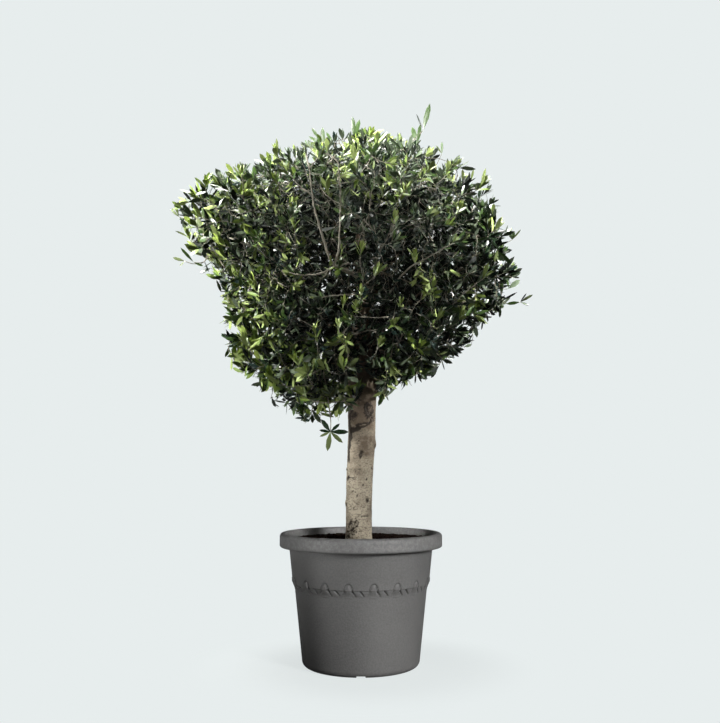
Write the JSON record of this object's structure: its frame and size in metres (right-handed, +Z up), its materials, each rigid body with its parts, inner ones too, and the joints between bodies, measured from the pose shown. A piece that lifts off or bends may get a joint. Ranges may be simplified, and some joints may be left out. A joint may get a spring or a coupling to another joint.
{
  "type": "potted olive tree",
  "caption": "Standard olive tree with a clear trunk and a dense round crown, planted in a round dark grey planter with a rolled rim and a raised garland band.",
  "frame": {"origin": "centre of the planter's flat underside", "axes": "+Z up along the planter's axis; the side that the picture shows faces -Y, with +X to the viewer's right"},
  "size_m": [1.275, 1.1254, 1.926],
  "materials": {
    "pot": "satin",
    "soil": "matte",
    "bark": "matte",
    "leaves": "matte"
  },
  "bodies": {
    "root": {"pot": "pot", "soil": "soil", "trunk": "bark", "bough_top": "bark", "bough_mid_1": "bark", "bough_mid_2": "bark", "bough_mid_3": "bark", "bough_mid_4": "bark", "bough_mid_5": "bark", "bough_mid_6": "bark", "bough_low_1": "bark", "bough_low_2": "bark", "bough_low_3": "bark", "bough_low_4": "bark", "bough_low_5": "bark", "bough_high_1": "bark", "bough_high_2": "bark", "bough_high_3": "bark", "bough_high_4": "bark", "bough_high_5": "bark", "foliage_low_1": "leaves", "foliage_low_2": "leaves", "foliage_low_3": "leaves", "foliage_low_4": "leaves", "foliage_low_5": "leaves", "foliage_mid_1": "leaves", "foliage_mid_2": "leaves", "foliage_mid_3": "leaves", "foliage_mid_4": "leaves", "foliage_mid_5": "leaves", "foliage_mid_6": "leaves", "foliage_high_1": "leaves", "foliage_high_2": "leaves", "foliage_high_3": "leaves", "foliage_high_4": "leaves", "foliage_high_5": "leaves", "foliage_top": "leaves"}
  },
  "joints": []
}
